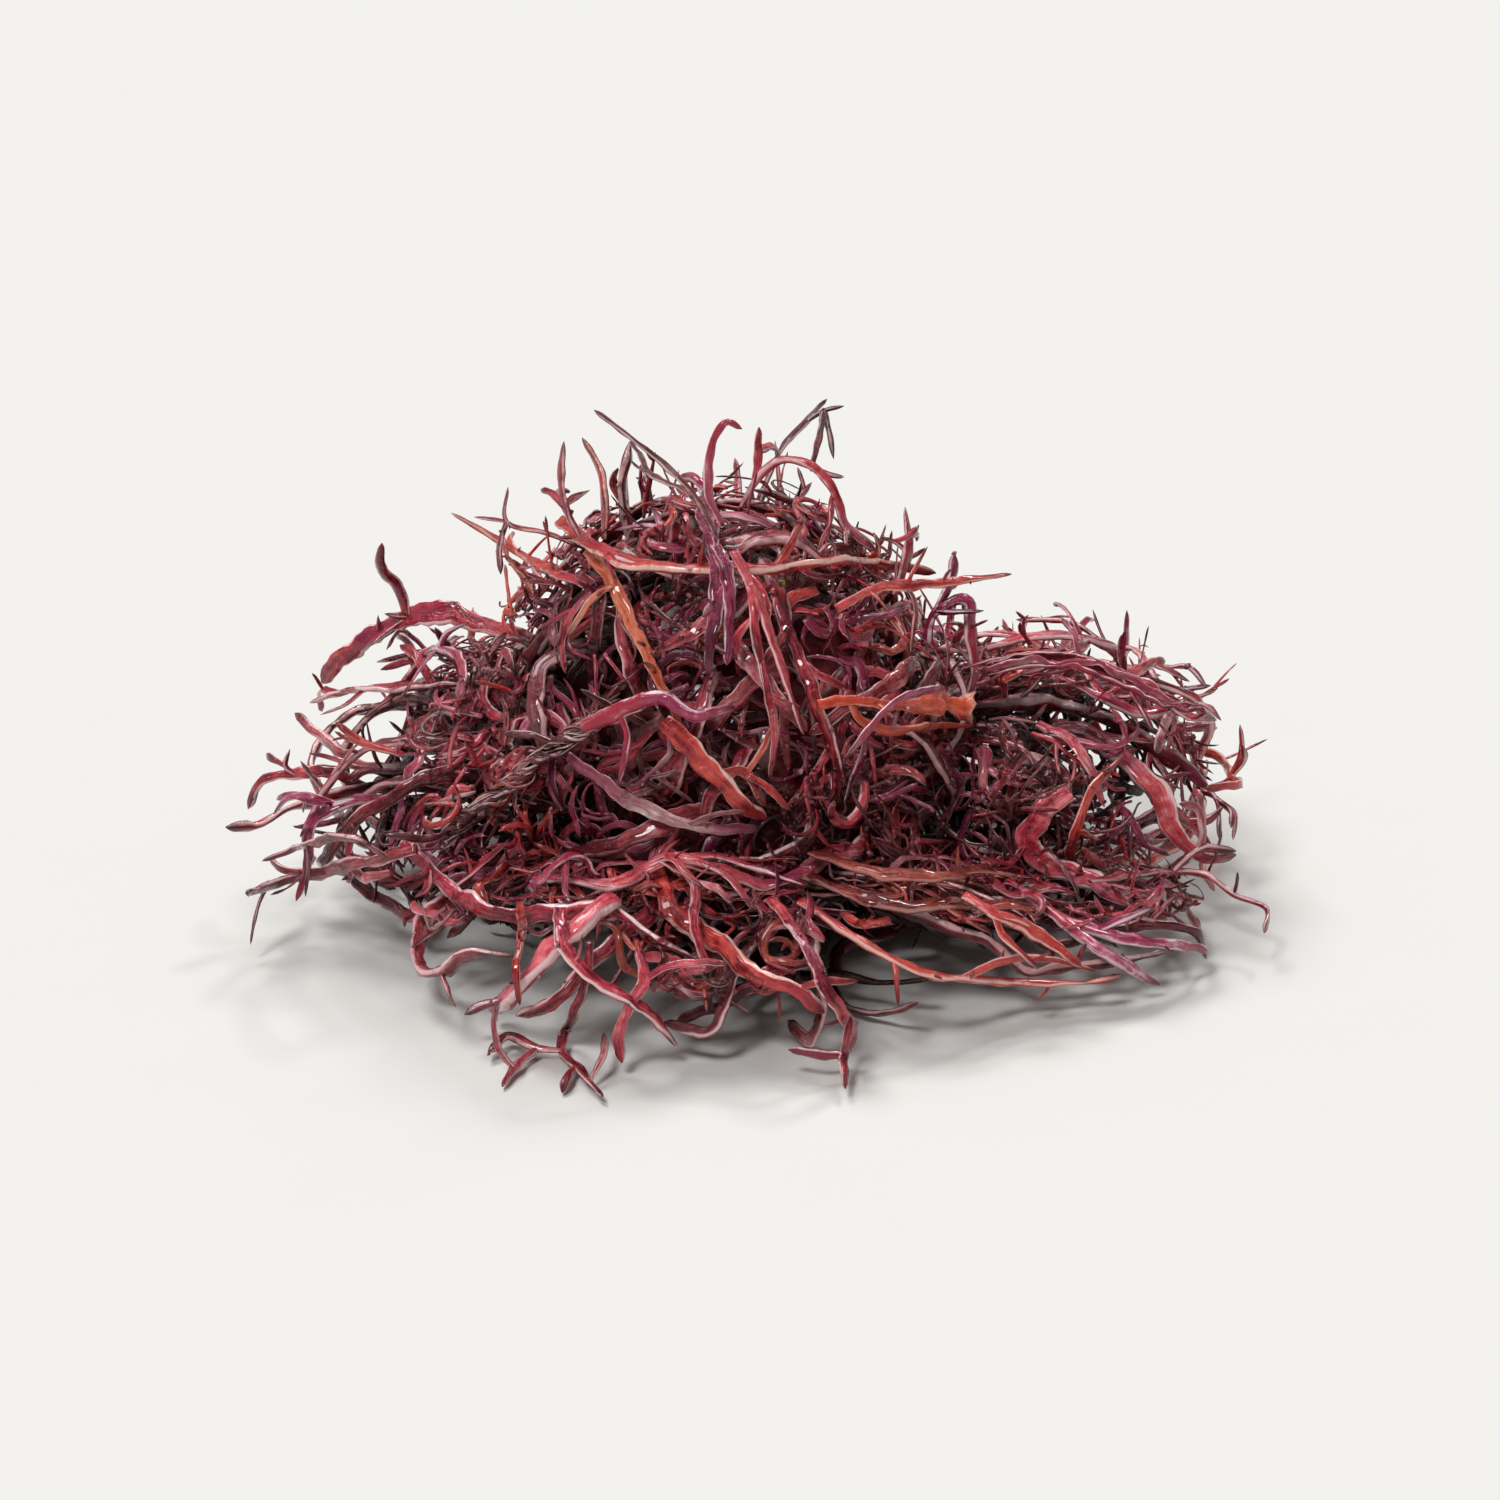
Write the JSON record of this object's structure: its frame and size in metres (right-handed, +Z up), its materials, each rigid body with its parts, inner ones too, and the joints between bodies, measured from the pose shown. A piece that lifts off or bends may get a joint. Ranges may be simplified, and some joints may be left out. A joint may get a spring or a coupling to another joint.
{
  "type": "funori",
  "caption": "Tangled clump of dried red funori seaweed: forked, curling, tapering fronds matted into a loose heap that rests on its underside.",
  "frame": {"origin": "on the flat spot of the underside, under the middle of the heap", "axes": "+Z up, +X to the right along the heap's length, -Y towards the side that the picture shows"},
  "size_m": [0.1036, 0.0931, 0.0574],
  "materials": {
    "maroon": "dried dark red seaweed, glossy skin over a wrinkled surface",
    "wine": "dried purple red seaweed, glossy skin over a wrinkled surface",
    "brick": "dried brick red seaweed, glossy skin over a wrinkled surface",
    "rust": "dried orange brown seaweed, glossy skin over a wrinkled surface",
    "amber": "dried amber seaweed with brown streaks, translucent and glossy",
    "umber": "dried brown black seaweed, wiry, with a dull sheen",
    "dark": "dried dark red seaweed, matted, with a dull sheen",
    "taupe": "dried grey mauve seaweed with a soft sheen"
  },
  "bodies": {
    "root": {"matted_heart": "dark", "taupe_ribbon": "taupe", "amber_strip": "amber", "rose_blade": "brick", "dark_rope": "umber", "grape_band": "wine", "ridge_arm": "brick", "red_arm": "brick", "centre_bundle": "wine", "long_fall": "maroon", "purple_ribbon": "wine", "trumpet": "rust", "cross_strand": "wine", "magenta_knot": "wine", "left_horn": "brick", "loop_strand": "maroon", "left_spike": "maroon", "curved_finger": "brick", "cone_blade": "maroon", "crown_wires": "umber", "crown_curl": "wine", "crown_fork": "umber", "crown_spray": "maroon", "right_spike": "maroon", "right_ridge": "brick", "right_middle": "maroon", "right_curtain": "maroon", "crimson_leaf": "wine", "rust_fingers": "rust", "upper_finger": "rust", "rust_tail": "brick", "ground_loop": "brick", "plum_toe": "wine", "hooked_tip": "umber", "front_cord": "brick", "front_flare": "brick", "front_leg": "maroon", "red_bud": "brick", "orange_slip": "rust", "pink_leg": "brick", "front_sprig": "umber", "left_claw": "maroon", "left_foot": "wine", "left_toe": "umber", "left_back_blade": "wine", "left_back_prongs": "maroon", "left_back_tip": "umber", "frond_01": "maroon", "frond_02": "wine", "frond_03": "brick", "frond_04": "maroon", "frond_05": "wine", "frond_06": "rust", "frond_07": "maroon", "frond_08": "wine", "frond_09": "brick", "frond_10": "maroon", "frond_11": "wine", "frond_12": "rust", "frond_13": "maroon"}
  },
  "joints": []
}
